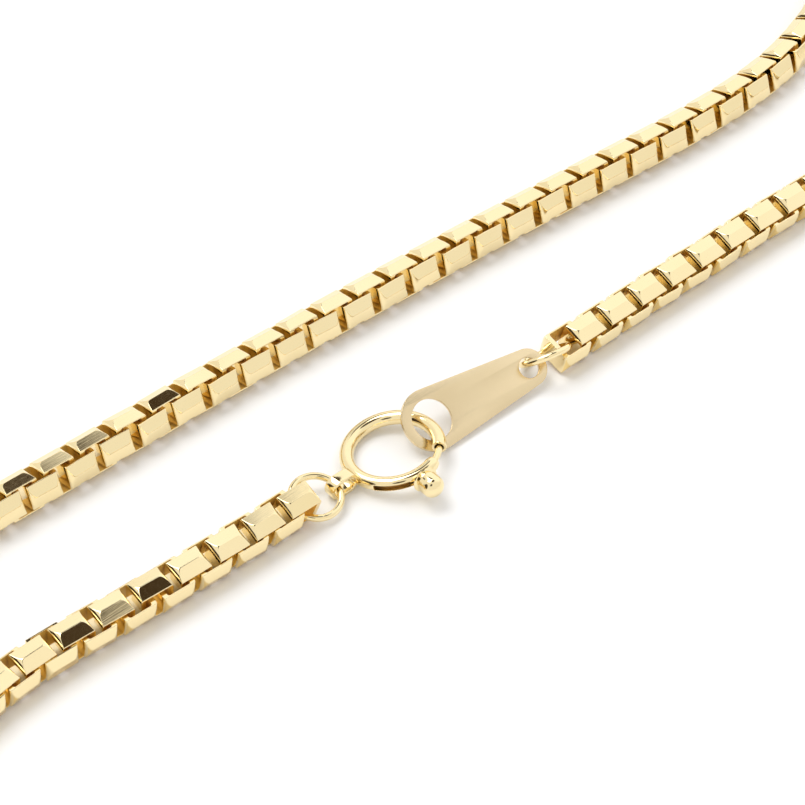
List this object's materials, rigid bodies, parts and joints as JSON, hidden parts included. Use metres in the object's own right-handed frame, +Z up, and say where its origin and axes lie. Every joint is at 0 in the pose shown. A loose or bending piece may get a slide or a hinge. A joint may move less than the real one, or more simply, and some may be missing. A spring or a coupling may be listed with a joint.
{
  "type": "box chain necklace",
  "caption": "Gold necklace of faceted box links in a closed loop, fastened by a spring ring clasp hooked into a plain tapered tag.",
  "frame": {"origin": "middle of the necklace as it lies, on the table", "axes": "+Z up from the table; the two long strands run along X, with the clasp and tag in the strand at -Y"},
  "size_m": [0.2062, 0.0437, 0.0036],
  "materials": {
    "chain_clasp_side": "polished",
    "chain_tag_side": "polished",
    "jump_ring": "polished",
    "clasp_ring": "polished",
    "clasp_gate": "polished",
    "tag_plate": "polished",
    "connector_ring": "polished"
  },
  "bodies": {
    "chain": {"chain_clasp_side": "chain_clasp_side", "chain_tag_side": "chain_tag_side", "jump_ring": "jump_ring", "clasp_ring": "clasp_ring", "tag_plate": "tag_plate", "connector_ring": "connector_ring"},
    "gate": {"clasp_gate": "clasp_gate"}
  },
  "joints": [
    {"name": "gate_slide_round", "type": "hinge", "parent": "chain", "child": "gate", "pos_m": [-0.0068, -0.0084, 0.00121], "axis": [0.0947, -0.1352, -0.9863], "range_deg": [0, 50], "stiffness_Nm_per_rad": 0.0005, "springref_deg": -11.46}
  ]
}
